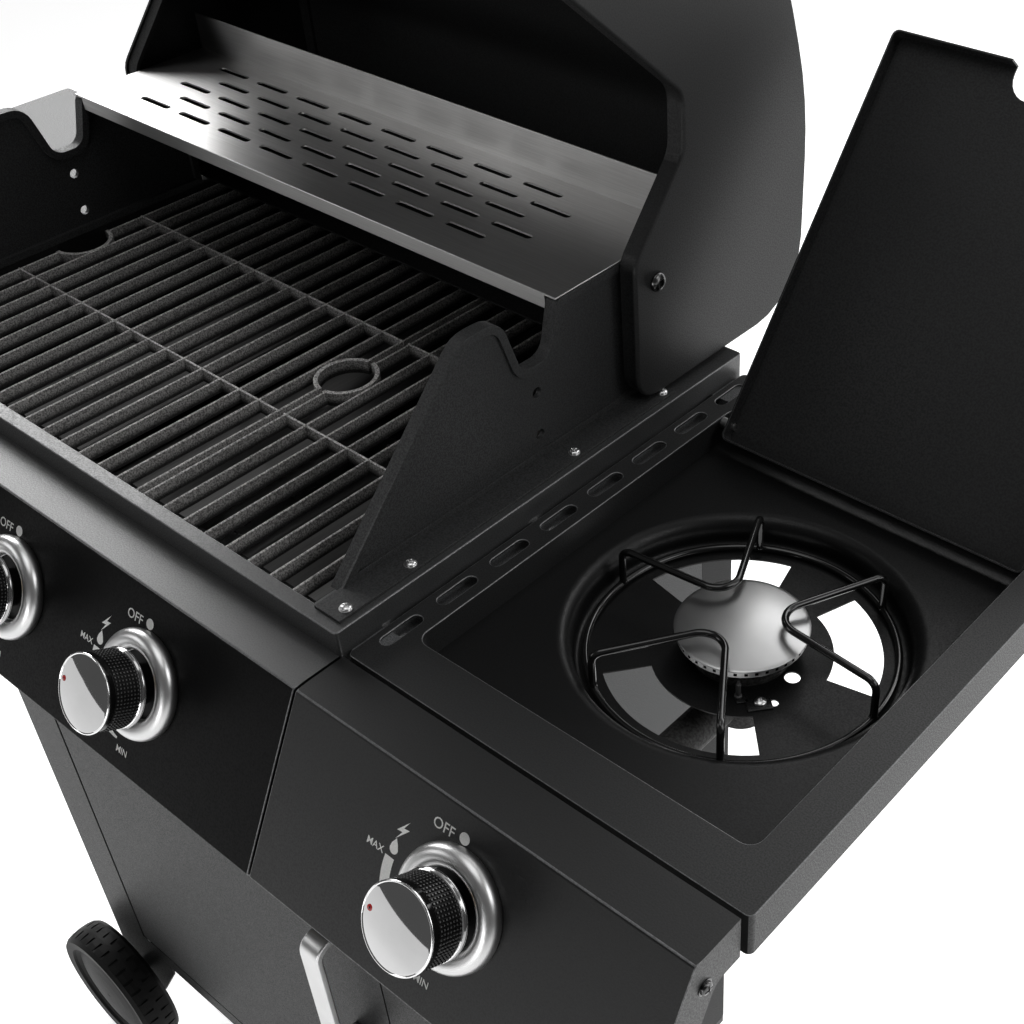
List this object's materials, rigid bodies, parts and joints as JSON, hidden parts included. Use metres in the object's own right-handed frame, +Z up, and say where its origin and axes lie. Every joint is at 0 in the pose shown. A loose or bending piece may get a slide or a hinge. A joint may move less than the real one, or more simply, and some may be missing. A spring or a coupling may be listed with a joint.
{
  "type": "gas barbecue grill",
  "caption": "Gas barbecue grill on a wheeled cart: hinged hood, cast cooking grates, warming rack, push-and-turn knobs, lidded side burner, side shelf and cabinet door.",
  "frame": {"origin": "on the floor, at the centre of the footprint of the whole grill with its hood and side lid open", "axes": "+X to the side burner, -Y the front with the knobs, +Z up"},
  "size_m": [1.21, 0.646, 1.4055],
  "materials": {
    "pillar_coat": "satin fine-textured powder coat",
    "cabinet_grey": "satin powder coat",
    "powder_coat": "satin fine-textured powder coat",
    "shelf_coat": "satin powder coat",
    "hood_enamel": "satin enamel",
    "tub_enamel": "matte enamel",
    "cast_iron": "rough, enamelled",
    "stainless": "brushed",
    "zinc": "bright zinc",
    "brass": "machined",
    "chrome": "polished",
    "cast_aluminium": "cast",
    "satin_aluminium": "satin",
    "wire_enamel": "gloss enamel",
    "black_plastic": "moulded",
    "wheel_plastic": "moulded"
  },
  "bodies": {
    "cart": {"leg_front_left": "pillar_coat", "leg_front_right": "pillar_coat", "leg_rear_left": "pillar_coat", "leg_rear_right": "pillar_coat", "feet": "black_plastic", "bottom_shelf": "pillar_coat", "side_panel_left": "cabinet_grey", "side_panel_right": "cabinet_grey", "front_header": "pillar_coat", "rear_brace": "pillar_coat", "axle": "zinc", "firebox_tub": "tub_enamel", "base_frame": "powder_coat", "firebox_wall_left": "powder_coat", "firebox_wall_right": "powder_coat", "flange_screws": "zinc", "grate_left": "cast_iron", "grate_right": "cast_iron", "warming_rack": "stainless", "heat_tents": "stainless", "burner_1": "stainless", "burner_2": "stainless", "burner_3": "stainless", "gas_manifold": "zinc", "gas_valves": "brass", "control_panel": "powder_coat", "side_control_panel": "powder_coat", "left_fascia": "powder_coat", "knob_bezels": "chrome", "table_brackets": "pillar_coat", "left_shelf": "shelf_coat", "side_table": "powder_coat", "side_burner_pan": "powder_coat", "side_burner_head": "cast_aluminium", "side_burner_cap": "stainless", "side_electrode": "zinc", "pan_support": "wire_enamel", "lid_hinge_pins": "zinc", "hood_bolts": "zinc", "door_hinge_pins": "zinc", "tray_rails": "pillar_coat"},
    "hood": {"hood_shell": "hood_enamel", "hood_side_left": "hood_enamel", "hood_side_right": "hood_enamel", "hood_handle": "stainless", "thermometer": "chrome"},
    "lid": {"side_lid": "powder_coat"},
    "door_leaf": {"door": "cabinet_grey", "door_handle": "satin_aluminium"},
    "front_wheel": {"wheel_front": "wheel_plastic"},
    "rear_wheel": {"wheel_rear": "wheel_plastic"},
    "tray": {"grease_tray": "stainless"},
    "stem_1": {"valve_stem_1": "brass"},
    "knob_body_1": {"knob_1": "black_plastic"},
    "stem_2": {"valve_stem_2": "brass"},
    "knob_body_2": {"knob_2": "black_plastic"},
    "stem_3": {"valve_stem_3": "brass"},
    "knob_body_3": {"knob_3": "black_plastic"},
    "stem_4": {"valve_stem_4": "brass"},
    "knob_body_4": {"knob_4": "black_plastic"}
  },
  "joints": [
    {"name": "hood_hinge", "type": "hinge", "parent": "cart", "child": "hood", "pos_m": [0, 0.10393, 1.042], "axis": [1, 0, 0], "range_deg": [0, 90]},
    {"name": "lid_hinge", "type": "hinge", "parent": "cart", "child": "lid", "pos_m": [0.456, 0.13392, 0.925], "axis": [1, 0, 0], "range_deg": [0, 128.9]},
    {"name": "door_hinge", "type": "hinge", "parent": "cart", "child": "door_leaf", "pos_m": [-0.2234, -0.19007, 0.48], "axis": [0, 0, 1], "range_deg": [-110, 0]},
    {"name": "front_wheel_spin", "type": "hinge", "parent": "cart", "child": "front_wheel", "pos_m": [-0.263, -0.22757, 0.081], "axis": [0, 1, 0], "continuous": true},
    {"name": "rear_wheel_spin", "type": "hinge", "parent": "cart", "child": "rear_wheel", "pos_m": [-0.263, 0.21343, 0.081], "axis": [0, 1, 0], "continuous": true},
    {"name": "tray_slide", "type": "slide", "parent": "cart", "child": "tray", "axis": [0, 1, 0], "range_m": [0, 0.2]},
    {"name": "valve_push_1", "type": "slide", "parent": "cart", "child": "stem_1", "axis": [0, 0.8771, -0.4802], "range_m": [0, 0.004], "stiffness_N_per_m": 1500, "springref_m": -0.002},
    {"name": "knob_turn_1", "type": "hinge", "parent": "stem_1", "child": "knob_body_1", "pos_m": [0.171, -0.27237, 0.87649], "axis": [0, -0.8771, 0.4802], "range_deg": [-90, 90]},
    {"name": "valve_push_2", "type": "slide", "parent": "cart", "child": "stem_2", "axis": [0, 0.8771, -0.4802], "range_m": [0, 0.004], "stiffness_N_per_m": 1500, "springref_m": -0.002},
    {"name": "knob_turn_2", "type": "hinge", "parent": "stem_2", "child": "knob_body_2", "pos_m": [0.02, -0.27237, 0.87649], "axis": [0, -0.8771, 0.4802], "range_deg": [-90, 90]},
    {"name": "valve_push_3", "type": "slide", "parent": "cart", "child": "stem_3", "axis": [0, 0.8771, -0.4802], "range_m": [0, 0.004], "stiffness_N_per_m": 1500, "springref_m": -0.002},
    {"name": "knob_turn_3", "type": "hinge", "parent": "stem_3", "child": "knob_body_3", "pos_m": [-0.131, -0.27237, 0.87649], "axis": [0, -0.8771, 0.4802], "range_deg": [-90, 90]},
    {"name": "valve_push_4", "type": "slide", "parent": "cart", "child": "stem_4", "axis": [0, 0.8771, -0.4802], "range_m": [0, 0.004], "stiffness_N_per_m": 1500, "springref_m": -0.002},
    {"name": "knob_turn_4", "type": "hinge", "parent": "stem_4", "child": "knob_body_4", "pos_m": [0.4535, -0.26997, 0.88088], "axis": [0, -0.8771, 0.4802], "range_deg": [-90, 90]}
  ]
}
